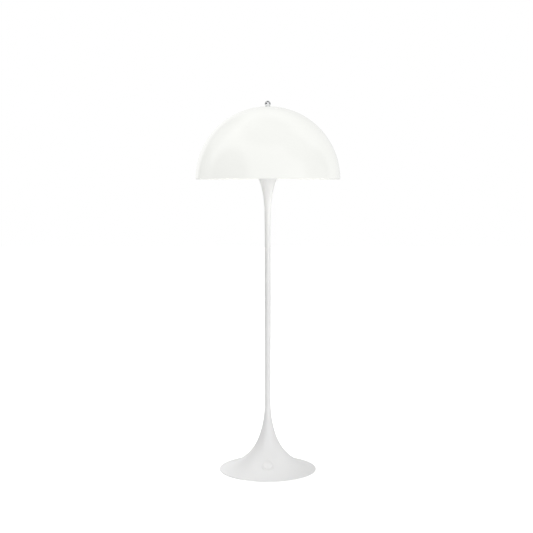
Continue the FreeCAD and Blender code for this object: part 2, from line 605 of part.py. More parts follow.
os.makedirs("parts", exist_ok=True)
for name, shape in pieces.items():
    if not shape.isValid() or min(solid.Volume for solid in shape.Solids) <= 0:
        print("NOT SOUND:", name)
    shape.exportStep("parts/" + name + ".step")
lamp = Part.makeCompound(list(pieces.values()))
print(len(pieces), "nodes, box", lamp.BoundBox)
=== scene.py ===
import bmesh
import bpy
import json
import math
import numpy as np
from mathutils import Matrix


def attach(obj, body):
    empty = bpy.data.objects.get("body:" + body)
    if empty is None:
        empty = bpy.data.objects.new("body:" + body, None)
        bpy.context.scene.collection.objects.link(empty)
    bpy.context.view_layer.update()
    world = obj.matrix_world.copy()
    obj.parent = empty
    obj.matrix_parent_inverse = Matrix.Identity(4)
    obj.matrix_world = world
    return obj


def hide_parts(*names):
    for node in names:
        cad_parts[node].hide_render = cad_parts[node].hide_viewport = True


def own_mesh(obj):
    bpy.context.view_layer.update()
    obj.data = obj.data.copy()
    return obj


# A mushroom floor lamp with its light on. Metres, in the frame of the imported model: +Z up, the
# foot switch towards -Y, the cord's inlet towards +Y.

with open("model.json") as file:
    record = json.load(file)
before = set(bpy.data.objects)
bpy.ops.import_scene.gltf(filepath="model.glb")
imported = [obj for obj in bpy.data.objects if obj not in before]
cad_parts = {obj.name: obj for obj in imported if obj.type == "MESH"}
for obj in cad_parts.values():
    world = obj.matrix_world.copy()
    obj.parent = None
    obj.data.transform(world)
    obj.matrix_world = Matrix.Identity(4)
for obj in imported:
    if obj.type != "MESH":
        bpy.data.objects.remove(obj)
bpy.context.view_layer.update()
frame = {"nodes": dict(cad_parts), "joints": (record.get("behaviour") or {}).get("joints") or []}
MM = 0.001

# ---- Camera ----
# The lamp is seen from the front with a short telephoto lens, at about three quarters of its
# height and tilted slightly down, as the ellipses of the foot and of the shade's rim show.

PHOTO_SIDE = 533.0
FOCAL_PIXELS = 1028.0
SENSOR_WIDTH = 36.0
CAMERA_PLACE = (-4.3, -3563.0, 981.0)
CAMERA_TILT = 4.27
camera = bpy.data.objects.new("camera", bpy.data.cameras.new("camera"))
camera.data.sensor_width = SENSOR_WIDTH
camera.data.lens = FOCAL_PIXELS / PHOTO_SIDE * SENSOR_WIDTH
camera.location = [place * MM for place in CAMERA_PLACE]
camera.rotation_euler = (math.radians(90.0 - CAMERA_TILT), 0.0, 0.0)
camera.data.clip_end = 50.0
bpy.context.scene.collection.objects.link(camera)
bpy.context.scene.camera = camera


# ---- Rubber foot ring ----
# A flat ring of black rubber stuck under the base plate; the only thing that meets the floor.
# Its tools are defined here, where they are first needed, and serve every turned piece below.

def to_linear(code):
    """The linear colour of an sRGB hex code such as 'F2F2F0'."""
    parts = np.array([int(code[i:i + 2], 16) / 255.0 for i in (0, 2, 4)])
    linear = np.where(parts <= 0.04045, parts / 12.92, ((parts + 0.055) / 1.055) ** 2.4)
    return (*linear, 1.0)


def add_node(tree, kind, inputs=None, **settings):
    """Adds a node; each input is given a value, or linked where it is another node's socket."""
    made = tree.nodes.new(kind)
    for key, value in settings.items():
        setattr(made, key, value)
    for key, value in (inputs or {}).items():
        if isinstance(value, bpy.types.NodeSocket):
            tree.links.new(value, made.inputs[key])
        else:
            made.inputs[key].default_value = value
    return made


def surface(name, colour, roughness, sockets=None):
    """A new Principled material: returns it, its node tree and the shader."""
    made = bpy.data.materials.new(name)
    made.use_nodes = True
    made.node_tree.nodes.clear()
    shader = add_node(made.node_tree, "ShaderNodeBsdfPrincipled", {
        "Base Color": to_linear(colour), "Roughness": roughness, **(sockets or {})})
    output = add_node(made.node_tree, "ShaderNodeOutputMaterial")
    made.node_tree.links.new(shader.outputs[0], output.inputs["Surface"])
    return made, made.node_tree, shader


def uneven(tree, shader, colours, roughness, size_mm, relief_mm, detail=2.0, stretch=(1, 1, 1)):
    """Gives a surface a grain of one real size: its colour wanders between two hex colours, its
    roughness between two values, and its height by relief_mm."""
    place = add_node(tree, "ShaderNodeTexCoord")
    scaled = add_node(tree, "ShaderNodeMapping",
                      {"Vector": place.outputs["Object"], "Scale": stretch})
    noise = add_node(tree, "ShaderNodeTexNoise", {
        "Vector": scaled.outputs[0], "Scale": 1.0 / (size_mm * MM), "Detail": detail})
    tint = add_node(tree, "ShaderNodeMix", {"Factor": noise.outputs["Fac"]}, data_type="RGBA")
    tint.inputs["A"].default_value = to_linear(colours[0])
    tint.inputs["B"].default_value = to_linear(colours[1])
    tree.links.new(tint.outputs["Result"], shader.inputs["Base Color"])
    gloss = add_node(tree, "ShaderNodeMapRange", {
        "Value": noise.outputs["Fac"], "To Min": roughness[0], "To Max": roughness[1]})
    tree.links.new(gloss.outputs[0], shader.inputs["Roughness"])
    bump = add_node(tree, "ShaderNodeBump", {
        "Height": noise.outputs["Fac"], "Strength": 1.0, "Distance": relief_mm * MM})
    tree.links.new(bump.outputs[0], shader.inputs["Normal"])


# Edges over so many degrees stay sharp, a point so close to the axis is on it, and a corner's
# round takes at most this share of either side.
SHARP_EDGE = 35.0
ON_AXIS = 1e-6
CORNER_SHARE = 0.45


def new_shape(name, points, faces):
    """A new object at the origin, from its points in millimetres and its faces."""
    mesh = bpy.data.meshes.new(name)
    mesh.from_pydata((np.asarray(points) * MM).tolist(), [], faces)
    shape = bpy.data.objects.new(name, mesh)
    bpy.context.scene.collection.objects.link(shape)
    return shape


def mesh_piece(name, points, faces, material, body, slot, node):
    """A new piece that rides on a body and stands for one CAD node."""
    piece = new_shape(name, points, faces)
    piece.data.materials.append(material)
    piece.data.shade_smooth()
    piece.data.set_sharp_from_angle(angle=math.radians(SHARP_EDGE))
    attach(piece, body)
    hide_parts(node)
    return piece


def between_rows(low, high):
    """The four-sided faces between two rows of point numbers that close on themselves: each
    point and the next one of the low row, then back along the high row."""
    return np.stack([low, np.roll(low, -1, axis=-1), np.roll(high, -1, axis=-1), high], axis=-1)


def turned(line, around=128):
    """A closed line (radius, height) turned about the axis: each point goes round as
    (r cos a, r sin a, z). A point on the axis is one pole, and two poles have no face between."""
    line = np.asarray(line, float)
    pole = line[:, 0] < ON_AXIS
    angle = np.linspace(0.0, 2.0 * math.pi, around, endpoint=False)
    radius = np.where(pole, 0.0, line[:, 0])[:, None]
    height = np.broadcast_to(line[:, 1:], (len(line), around))
    points = np.stack([radius * np.cos(angle), radius * np.sin(angle), height], axis=-1)
    count = np.where(pole, 1, around)
    number = np.where(pole[:, None], 0, np.arange(around))
    rows = (np.cumsum(count) - count)[:, None] + number
    bands = between_rows(rows, np.roll(rows, -1, axis=0))
    faces = []
    for band, low_pole, high_pole in zip(bands, pole, np.roll(pole, -1)):
        if not (low_pole and high_pole):
            corners = [0, 2, 3] if low_pole else [0, 1, 2] if high_pole else [0, 1, 2, 3]
            faces += band[:, corners].tolist()
    return points[~pole[:, None] | (np.arange(around) == 0)], faces


def rounded(corners, radius=0.3, steps=4):
    """A closed line with each corner off the axis cut back by the radius and rounded by the
    curve (1 - t)^2 start + 2 t (1 - t) corner + t^2 end, which meets both sides smoothly."""
    corners = np.asarray(corners, float)
    t = np.linspace(0.0, 1.0, steps + 1)[:, None]
    line = []
    for i, corner in enumerate(corners):
        before = corners[i - 1] - corner
        after = corners[(i + 1) % len(corners)] - corner
        near, far = np.linalg.norm(before), np.linalg.norm(after)
        if corner[0] < ON_AXIS:
            line.append(corner)
            continue
        cut = min(radius, near * CORNER_SHARE, far * CORNER_SHARE)
        start = corner + before / near * cut
        end = corner + after / far * cut
        line.extend((1 - t) ** 2 * start + 2 * t * (1 - t) * corner + t ** 2 * end)
    return np.array(line)


def ring(inner, outer, low, high, radius=0.3):
    """The rounded line of a plain ring."""
    return rounded([(inner, low), (outer, low), (outer, high), (inner, high)], radius)


# EPDM rubber: moulded, matt black, with a fine speckle that catches a little light.
rubber, tree, shader = surface("EPDM rubber, moulded", "1C1C1C", 0.8)
uneven(tree, shader, ("161616", "242424"), (0.72, 0.88), 0.6, 0.03)
PAD_INNER = 138.0
PAD_OUTER = 148.0
PAD_HEIGHT = 2.0
pad = ring(PAD_INNER, PAD_OUTER, 0.0, PAD_HEIGHT, 0.5)
mesh_piece("rubber_foot_ring", *turned(pad), rubber, "stand", "rubber", "foot_ring")

# ---- Base plate, its screws and the iron weight ----
# A pressed steel disc closes the foot; seven pan-head screws hold it to the casting and to the
# cast-iron weight that lies on it.

# Zinc plate on steel: bluish grey, with the spangle-free cloud of a barrel-plated part.
zinc, tree, shader = surface("Zinc-plated steel", "A7AAAD", 0.35, {"Metallic": 1.0})
uneven(tree, shader, ("9A9DA1", "B4B7BA"), (0.28, 0.45), 9.0, 0.01, detail=4.0)

# Cast iron: sand-cast and dip-primed, near black, with a coarse sandy skin.
iron, tree, shader = surface("Sand-cast iron, primed", "242526", 0.65)
uneven(tree, shader, ("1D1E1F", "2D2E30"), (0.55, 0.75), 1.5, 0.15, detail=5.0)


def dress(material, *nodes):
    """Puts a material on CAD nodes that keep their own shape."""
    for node in nodes:
        mesh = frame["nodes"][node].data
        mesh.materials.clear()
        mesh.materials.append(material)


dress(zinc, "base_plate", "plate_screws", "weight_screws", "block_screws")
dress(iron, "base_weight")

# ---- Trumpet foot ----
# One aluminium casting, turned outside to a long flaring line and lacquered white; a short nose
# at the back carries the cord bush, and a round spot face at the front takes the switch.

COLLAR_TOP = 236.0
STEM_BORE = 8.5
FOOT_LINE = [
    (10.3, COLLAR_TOP), (12.4, 200.0), (15.7, 175.0), (20.9, 150.0), (35.9, 105.0),
    (56.6, 70.0), (84.6, 42.0), (119.2, 20.0), (150.0, 8.3), (167.0, 3.9),
]
FOOT_WALL = 2.6


def smooth_line(corners, steps):
    """A natural cubic through the corners, with the chord length as its parameter: the second
    derivatives come from one linear system, and each span is a cubic between its corners."""
    corners = np.asarray(corners, float)
    span = np.linalg.norm(np.diff(corners, axis=0), axis=1)
    count = len(corners)
    system = np.eye(count)
    right = np.zeros((count, 2))
    for i in range(1, count - 1):
        system[i, i - 1:i + 2] = span[i - 1], 2 * (span[i - 1] + span[i]), span[i]
        rise = (corners[i + 1] - corners[i]) / span[i] - (corners[i] - corners[i - 1]) / span[i - 1]
        right[i] = 6 * rise
    bend = np.linalg.solve(system, right)
    t = np.linspace(0.0, 1.0, steps, endpoint=False)[:, None]
    u = 1.0 - t
    line = []
    for i, length in enumerate(span):
        line.extend(u * corners[i] + t * corners[i + 1] + length ** 2 / 6 * (
            (u ** 3 - u) * bend[i] + (t ** 3 - t) * bend[i + 1]))
    line.append(corners[-1])
    return np.array(line)


def inset(line, wall):
    """A line moved through its wall, at right angles to itself."""
    along = np.gradient(line, axis=0)
    along /= np.linalg.norm(along, axis=1)[:, None]
    return line + wall * np.stack([along[:, 1], -along[:, 0]], axis=1)


def arc(centre, radius, start, end, steps):
    """Points centre + radius (cos a, sin a), from one angle to another in degrees."""
    angle = np.radians(np.linspace(start, end, steps))
    return np.stack([centre[0] + radius * np.cos(angle), centre[1] + radius * np.sin(angle)], 1)


def rod(radius, low, high):
    """The closed line of a plain rod about the axis."""
    return [(0.0, low), (radius, low), (radius, high), (0.0, high)]


def combine(piece, tool, how):
    """Joins a second closed shape to a piece ("UNION") or cuts it away ("DIFFERENCE"), makes
    the result the piece's own mesh, and removes the second shape."""
    other = new_shape("tool", *tool)
    modifier = piece.modifiers.new(how, "BOOLEAN")
    modifier.operation = how
    modifier.solver = "EXACT"
    modifier.object = other
    graph = bpy.context.evaluated_depsgraph_get()
    final = bpy.data.meshes.new_from_object(piece.evaluated_get(graph))
    piece.modifiers.clear()
    piece.data = final
    bpy.data.objects.remove(other)


# Lacquer, sprayed on metal: a neutral white, half gloss, with a soft orange peel about 2.5 mm from
# crest to crest, and a clear top layer that keeps its highlights soft-edged.
lacquer, tree, shader = surface("White lacquer, sprayed on metal", "EDEDED", 0.32,
                                {"Coat Weight": 0.35, "Coat Roughness": 0.12})
uneven(tree, shader, ("ECECEC", "EEEEEE"), (0.29, 0.35), 2.5, 0.012)

FOOT_UNDERSIDE = 0.8
RIM_REACH = 1.85
SPAN_STEPS = 12
COLLAR_SPANS = 2
NIPPLE_HOLE = 5.3
SOCKET_FLOOR = 11.0
outside = smooth_line(FOOT_LINE, SPAN_STEPS)
inside = inset(outside, FOOT_WALL)[COLLAR_SPANS * SPAN_STEPS:]
collar_floor = inside[0, 1]
socket_bottom = collar_floor + SOCKET_FLOOR

# The rim: the line runs on straight for a little, then rolls under in one tangent round.
fall = math.atan2(outside[-2, 1] - outside[-1, 1], outside[-1, 0] - outside[-2, 0])
rim_start = outside[-1] + (RIM_REACH, -RIM_REACH * math.tan(fall))
rim_round = (rim_start[1] - FOOT_UNDERSIDE) / (1.0 + math.cos(fall))
rim_centre = rim_start - rim_round * np.array([math.sin(fall), math.cos(fall)])
foot_line = np.concatenate([
    outside, arc(rim_centre, rim_round, 90.0 - math.degrees(fall), -90.0, 11), inside[::-1],
    [(NIPPLE_HOLE, collar_floor), (NIPPLE_HOLE, socket_bottom), (STEM_BORE, socket_bottom),
     (STEM_BORE, COLLAR_TOP)],
])
foot = mesh_piece("trumpet_foot", *turned(foot_line[::-1], 256), lacquer, "stand", "lacquer",
                  "base_trumpet")

INLET_HEIGHT = 13.0
INLET_INNER = 116.0
INLET_OUTER = 156.0
INLET_RADIUS = 4.25
NOSE_RADIUS = 6.2


def through_back(shape):
    """Points and faces of a shape turned from +Z to +Y, onto the axis of the cord's inlet."""
    points, faces = shape
    x, y, z = points.T
    return np.stack([x, z, INLET_HEIGHT - y], axis=1), faces


nose = rounded(rod(NOSE_RADIUS, INLET_INNER, INLET_OUTER), 1.0)
combine(foot, through_back(turned(nose, 96)), "UNION")
combine(foot, through_back(turned(rod(INLET_RADIUS, 100.0, 175.0), 64)), "DIFFERENCE")

# The switch's seat: the point of the foot's line nearest to where the switch goes. The first
# joint is the switch's, and its axis points into the foot.
SWITCH_NEAR = (94.0, 35.3)
SPOT_FACE_RADIUS = 21.7
SPOT_FACE_DEPTH = 1.5
SWITCH_HOLE = 19.0
outward = -np.array(frame["joints"][0]["axis"], float)
upslope = np.cross(outward, (1.0, 0.0, 0.0))
fine = smooth_line(FOOT_LINE, 400)
seat_radius, seat_height = fine[np.argmin(np.hypot(*(fine - SWITCH_NEAR).T))]
seat_point = np.array([0.0, -seat_radius, seat_height])


def on_seat(shape):
    """Points and faces of a shape set on the foot, its +Z along the switch's outward axis."""
    points, faces = shape
    sides = np.array([(1.0, 0.0, 0.0), upslope, outward])
    return points @ sides + seat_point, faces


# Both cuts reach well past the wall.
combine(foot, on_seat(turned(rod(SPOT_FACE_RADIUS, -SPOT_FACE_DEPTH, 12.0), 128)), "DIFFERENCE")
combine(foot, on_seat(turned(rod(SWITCH_HOLE, -12.0, 4.0), 128)), "DIFFERENCE")

# The cuts leave a few faces with no area, which are dissolved.
NO_LENGTH = 0.001
FOOT_SHARP_EDGE = 30.0
clean = bmesh.new()
clean.from_mesh(foot.data)
bmesh.ops.dissolve_degenerate(clean, dist=NO_LENGTH * MM, edges=clean.edges)
clean.to_mesh(foot.data)
clean.free()
foot.data.shade_smooth()
foot.data.set_sharp_from_angle(angle=math.radians(FOOT_SHARP_EDGE))

# ---- Cord bush and terminal block ----
# A moulded bush lines the inlet in the nose; inside, a three-way screw block joins the mains cord
# to the lamp's own wiring.

# ABS: injection moulded in a spark-eroded mould, a half-gloss white with a very fine grain.
abs_white, tree, shader = surface("ABS, injection moulded", "ECECEC", 0.3)
uneven(tree, shader, ("EBEBEB", "EDEDED"), (0.26, 0.34), 0.5, 0.006)

# PA66: moulded, matt, off-white, with a slightly cloudy colour.
nylon, tree, shader = surface("PA66 nylon, moulded", "D8D7D2", 0.5)
uneven(tree, shader, ("D2D1CB", "DDDCD8"), (0.44, 0.58), 3.0, 0.01)

# Brass: turned bar, with fine rings round the part left by the tool.
brass, tree, shader = surface("Brass, turned", "C9A45C", 0.25, {"Metallic": 1.0})
uneven(tree, shader, ("C29C54", "D0AC66"), (0.2, 0.32), 0.4, 0.008, stretch=(0.1, 0.1, 1.0))

BUSH_BORE = 3.1
BUSH_RADIUS = 4.2
BUSH_LIP = 1.5
INNER_LIP_RADIUS = 5.2
OUTER_LIP_RADIUS = 5.6
bush_length = INLET_OUTER - INLET_INNER
bush = rounded([
    (BUSH_BORE, -BUSH_LIP), (INNER_LIP_RADIUS, -BUSH_LIP), (INNER_LIP_RADIUS, 0.0),
    (BUSH_RADIUS, 0.0), (BUSH_RADIUS, bush_length), (OUTER_LIP_RADIUS, bush_length),
    (OUTER_LIP_RADIUS, bush_length + BUSH_LIP), (BUSH_BORE, bush_length + BUSH_LIP)], 0.5)
bush[:, 1] += INLET_INNER
mesh_piece("moulded_cord_bush", *through_back(turned(bush, 96)), abs_white, "stand", "white_abs",
           "cord_bush")
dress(nylon, "terminal_block")
dress(brass, "terminal_screws")

# ---- Foot switch ----
# A round push switch: a moulded bezel with a threaded barrel, clamped from inside by a ring nut,
# and a dished button on a steel plunger over its return spring.

BUTTON_RADIUS = 15.8
BUTTON_EDGE = 1.2
BEZEL_RADIUS = 21.5
BEZEL_SLOPE = 4.2
BEZEL_DROP = 1.8
BEZEL_TOP = 2.0
BEZEL_CATCH = -3.0
BUTTON_GAP = 0.4
BORE_ROUND = 0.4
BARREL_RADIUS = 18.8
BARREL_BORE = 17.3
BARREL_FLOOR = -13.0
BARREL_END = -15.0
PLUNGER_HOLE = 5.2
button_bore = BUTTON_RADIUS + BUTTON_GAP

# The bezel's crown: a quarter ellipse that runs from flat by the button to upright at the rim.
quarter = arc((0.0, 0.0), 1.0, 90.0, 0.0, 16)
crown = (BEZEL_RADIUS - BEZEL_SLOPE, BEZEL_TOP - BEZEL_DROP) + quarter * (BEZEL_SLOPE, BEZEL_DROP)
bezel = np.concatenate([
    arc((button_bore + BORE_ROUND, BEZEL_TOP - BORE_ROUND), BORE_ROUND, 180.0, 90.0, 6), crown,
    [(BEZEL_RADIUS, -SPOT_FACE_DEPTH), (BARREL_RADIUS, -SPOT_FACE_DEPTH),
     (BARREL_RADIUS, BARREL_END), (PLUNGER_HOLE, BARREL_END), (PLUNGER_HOLE, BARREL_FLOOR),
     (BARREL_BORE, BARREL_FLOOR), (BARREL_BORE, BEZEL_CATCH), (button_bore, BEZEL_CATCH)],
])
mesh_piece("switch_bezel_ring", *on_seat(turned(bezel[::-1], 160)), abs_white, "stand",
           "white_abs", "switch_bezel")

# The button's top: a parabola 1.1 mm deep, which runs into the rounded edge nearly in line. Below
# it are the flange that the bezel holds back, the hollow over the spring and the plunger's boss.
DISH_LOW = 1.6
EDGE_HEIGHT = 1.55
EDGE_START = 98.5
FLANGE_RADIUS = 16.9
FLANGE_TOP = -3.1
FLANGE_LOW = -4.5
HOLLOW_RADIUS = 14.2
HOLLOW_TOP = -1.2
BOSS_RADIUS = 5.0
BOSS_LOW = -5.0
BOSS_BORE = 3.02
edge_round = arc((BUTTON_RADIUS - BUTTON_EDGE, EDGE_HEIGHT), BUTTON_EDGE, EDGE_START, 0.0, 12)
dish_end, dish_high = edge_round[0]
dish_reach = np.linspace(0.0, dish_end, 24, endpoint=False)
dish_rise = (dish_high - DISH_LOW) * (dish_reach / dish_end) ** 2
skirt = [(BUTTON_RADIUS, FLANGE_TOP), (FLANGE_RADIUS, FLANGE_TOP), (FLANGE_RADIUS, FLANGE_LOW),
         (HOLLOW_RADIUS, FLANGE_LOW), (HOLLOW_RADIUS, HOLLOW_TOP), (BOSS_RADIUS, HOLLOW_TOP),
         (BOSS_RADIUS, BOSS_LOW), (BOSS_BORE, BOSS_LOW), (BOSS_BORE, HOLLOW_TOP),
         (0.0, HOLLOW_TOP)]
button = np.concatenate([np.stack([dish_reach, DISH_LOW + dish_rise], axis=1), edge_round,
                         skirt])[::-1]
mesh_piece("switch_push_button", *on_seat(turned(button, 128)), abs_white, "push_button",
           "white_abs", "switch_button")

# Spring steel: drawn wire, dark grey, with a dull and slightly mottled shine.
spring_steel, tree, shader = surface("Spring steel, drawn", "7E8186", 0.35, {"Metallic": 1.0})
uneven(tree, shader, ("74777C", "888B90"), (0.3, 0.42), 0.8, 0.004)
dress(nylon, "switch_nut", "switch_body")
dress(brass, "switch_neck_nut", "switch_lugs")
dress(zinc, "switch_plunger")

SPRING_RADIUS = 11.6
SPRING_WIRE = 0.6
SPRING_TURNS = 4
SPRING_FLOOR = BARREL_FLOOR
SPRING_TOP = -1.25


def tube_faces(count, around, first=0):
    """The faces of a closed tube made of rings of points, whose numbers run on from first: a
    band between each two rings, and a flat cap on each end."""
    rings = first + np.arange(count * around).reshape(count, around)
    sides = between_rows(rings[:-1], rings[1:]).reshape(-1, 4)
    return sides.tolist() + [rings[0, ::-1].tolist(), rings[-1].tolist()]


def coil(radius, wire_radius, turns, low, high, around=12, steps=48):
    """A round wire wound about +Z: its centre goes round as (R cos t, R sin t) and rises evenly,
    and each ring is the centre + r (cos a outwards + sin a at right angles to both that and the
    wire)."""
    turn = np.linspace(0.0, 2.0 * math.pi * turns, steps * turns + 1)[:, None]
    out = np.concatenate([np.cos(turn), np.sin(turn), np.zeros_like(turn)], axis=1)
    height = low + wire_radius + (high - low - 2.0 * wire_radius) * turn / turn[-1]
    centre = radius * out + height * np.array([0.0, 0.0, 1.0])
    along = np.gradient(centre, axis=0)
    along /= np.linalg.norm(along, axis=1)[:, None]
    across = np.cross(along, out)
    angle = np.linspace(0.0, 2.0 * math.pi, around, endpoint=False)[None, :, None]
    points = centre[:, None, :] + wire_radius * (
        np.cos(angle) * out[:, None, :] + np.sin(angle) * across[:, None, :])
    return points.reshape(-1, 3), tube_faces(len(centre), around)


# The spring stands on the barrel's floor.
wound = coil(SPRING_RADIUS, SPRING_WIRE, SPRING_TURNS, SPRING_FLOOR, SPRING_TOP)
spring = mesh_piece("switch_return_spring", *on_seat(wound), spring_steel, "stand",
                    "spring_steel", "switch_spring")
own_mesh(spring)

# ---- Wiring ----
# Two single wires to the switch and one round lead up the stem, all in soft grey-white PVC.

# PVC: extruded, with a satin skin.
pvc, tree, shader = surface("PVC, extruded", "D9D9D6", 0.42)
uneven(tree, shader, ("D3D3D0", "DEDEDB"), (0.36, 0.48), 1.2, 0.006)
dress(pvc, "switch_leads", "riser_lead")

# ---- Stem ----
# A lacquered steel tube stands on the foot's collar, located by a spigot and pulled down by a
# hollow nipple; a turned coupler carries the upper trumpet and shows as the fine line between.

STEM_RADIUS = 10.0
SEAM_LOW = 855.0
SEAM_HIGH = 855.8
COUPLER_LOW = SEAM_LOW - 40.0
COUPLER_HIGH = SEAM_HIGH + 34.0
COUPLER_STEP = COUPLER_HIGH - 22.0
COUPLER_BORE = 6.0
COUPLER_THREAD = 5.0
SEAM_RADIUS = 9.6
tube = ring(STEM_BORE, STEM_RADIUS, COLLAR_TOP, SEAM_LOW, 0.25)
mesh_piece("stem_lacquered_tube", *turned(tube, 96), lacquer, "stand", "lacquer", "stem_tube")
coupler = rounded([
    (COUPLER_BORE, COUPLER_LOW), (STEM_BORE, COUPLER_LOW), (STEM_BORE, SEAM_LOW),
    (SEAM_RADIUS, SEAM_LOW), (SEAM_RADIUS, SEAM_HIGH), (STEM_BORE, SEAM_HIGH),
    (STEM_BORE, COUPLER_HIGH), (COUPLER_THREAD, COUPLER_HIGH), (COUPLER_THREAD, COUPLER_STEP),
    (COUPLER_BORE, COUPLER_STEP)], 0.2)
mesh_piece("stem_turned_coupler", *turned(coupler, 96), lacquer, "stand", "lacquer",
           "stem_coupler")
dress(zinc, "stem_washer", "stem_lock_nut", "stem_nipple", "stem_spigot")

# ---- Upper trumpet ----
# Spun from thin aluminium and lacquered like the foot. Its mouth opens under the bulb and throws
# the light up into the shade; a disc and a nut on the lampholder's nipple hold it down.

MOUTH_LINE = [
    (82.0, 1062.0), (57.0, 1051.0), (41.0, 1036.0), (30.5, 1017.0), (20.6, 985.0),
    (15.4, 958.0), (12.4, 930.0), (11.2, 902.0), (10.4, SEAM_HIGH),
]
MOUTH_WALL = 1.6
HOLLOW_SPANS = 6
TRUMPET_FLOOR = COUPLER_HIGH + 6.0
outside = smooth_line(MOUTH_LINE, SPAN_STEPS)
inside = inset(outside, MOUTH_WALL)[:HOLLOW_SPANS * SPAN_STEPS + 1]
edge_centre = (outside[0] + inside[0]) / 2
edge_slope = math.degrees(math.atan2(*(outside[0] - inside[0])[::-1]))
mouth_line = np.concatenate([
    arc(edge_centre, MOUTH_WALL / 2, edge_slope + 180.0, edge_slope, 9), outside[1:],
    [(STEM_BORE, SEAM_HIGH), (STEM_BORE, TRUMPET_FLOOR)], inside[:0:-1],
])
mesh_piece("spun_upper_trumpet", *turned(mouth_line[::-1], 192), lacquer, "stand", "lacquer",
           "upper_trumpet")
dress(zinc, "holder_nipple", "centring_disc", "trumpet_nut", "holder_nut")

# ---- Shade carrier ----
# A ring under the lampholder, three bent wires round the bulb and a hub with an M6 stud on top,
# welded up and powder coated white.

# Powder coat: baked epoxy powder, white, half gloss, with a pebbled skin.
powder, tree, shader = surface("White powder coat on steel", "E6E6E3", 0.4)
uneven(tree, shader, ("E3E3E0", "E9E9E6"), (0.36, 0.46), 0.9, 0.015)

CARRIER_LOW = 1004.0
HOLDER_SEAT = 1006.0
HUB_LOW = 1254.5
HUB_TOP = 1262.5
HUB_BORE = 3.0
HUB_RADIUS = 16.0
NIPPLE_CLEAR = 5.0
CARRIER_RADIUS = 23.2
LEG_ROUTE = [(21.0, HOLDER_SEAT), (21.0, 1018.0), (44.0, 1062.0), (44.0, 1204.5), (12.0, 1246.5),
             (12.0, HUB_LOW)]
LEG_RADIUS = 1.6
LEG_AZIMUTHS = (30.0, 150.0, 270.0)


def bent_line(route, steps=10):
    """A flat route of straight runs with its corners bent to tangent arcs, each as large as
    the corner's share of its shorter run allows."""
    route = np.asarray(route, float)
    line = [route[0]]
    for before, corner, after in zip(route, route[1:], route[2:]):
        back, ahead = before - corner, after - corner
        cut = CORNER_SHARE * min(np.linalg.norm(back), np.linalg.norm(ahead))
        back /= np.linalg.norm(back)
        ahead /= np.linalg.norm(ahead)
        half_turn = (math.pi - math.acos(float(back @ ahead))) / 2
        bend = cut / math.tan(half_turn)
        inward = (back + ahead) / np.linalg.norm(back + ahead)
        centre = corner + inward * bend / math.cos(half_turn)
        side = (ahead - back) / np.linalg.norm(ahead - back)
        t = np.linspace(-half_turn, half_turn, steps)[:, None]
        line.extend(centre - inward * bend * np.cos(t) + side * bend * np.sin(t))
    line.append(route[-1])
    return np.array(line)


def wire(line, radius, azimuth, first, around=16):
    """A round wire along a flat line (reach, height) that stands in the vertical plane at an
    azimuth: each ring is line + r (cos a across the line + sin a out of the plane). The
    numbers of its points run on from first."""
    along = np.gradient(line, axis=0)
    along /= np.linalg.norm(along, axis=1)[:, None]
    across = np.stack([along[:, 1], -along[:, 0]], axis=1)
    angle = np.linspace(0.0, 2.0 * math.pi, around, endpoint=False)
    flat = line[:, None, :] + radius * np.cos(angle)[None, :, None] * across[:, None, :]
    aside = np.broadcast_to(radius * np.sin(angle), flat.shape[:2])
    turn = math.radians(azimuth)
    x = flat[..., 0] * math.cos(turn) - aside * math.sin(turn)
    y = flat[..., 0] * math.sin(turn) + aside * math.cos(turn)
    points = np.stack([x, y, flat[..., 1]], axis=-1).reshape(-1, 3)
    return points, tube_faces(len(line), around, first)


leg_points = []
leg_faces = []
leg_line = bent_line(LEG_ROUTE)
for azimuth in LEG_AZIMUTHS:
    points, faces = wire(leg_line, LEG_RADIUS, azimuth, first=sum(map(len, leg_points)))
    leg_points.append(points)
    leg_faces += faces
mesh_piece("carrier_bent_wires", np.concatenate(leg_points), leg_faces, powder, "stand",
           "white_wire", "carrier_legs")
carrier_ring = ring(NIPPLE_CLEAR, CARRIER_RADIUS, CARRIER_LOW, HOLDER_SEAT, 0.4)
mesh_piece("carrier_foot_ring", *turned(carrier_ring, 96), powder, "stand", "white_wire",
           "carrier_ring")
hub = ring(HUB_BORE, HUB_RADIUS, HUB_LOW, HUB_TOP, 1.2)
mesh_piece("carrier_turned_hub", *turned(hub, 96), powder, "stand", "white_wire", "carrier_hub")
dress(zinc, "carrier_stud")

# ---- Lampholder ----
# A screw lampholder in pale thermoplastic: a cap on the nipple, a ceramic insert with the
# contact tongue, the nickelled screw shell and an outer sleeve.

# Steatite: pressed and fired, unglazed, chalky.
ceramic, tree, shader = surface("Steatite, unglazed", "DDDACF", 0.75)
uneven(tree, shader, ("D6D3C8", "E2DFD5"), (0.68, 0.82), 0.8, 0.02)

# Nickel plate on brass: warm grey, bright.
nickel, tree, shader = surface("Nickel-plated brass", "B9B5AB", 0.2, {"Metallic": 1.0})
uneven(tree, shader, ("B1ADA3", "C1BDB4"), (0.16, 0.27), 4.0, 0.004)

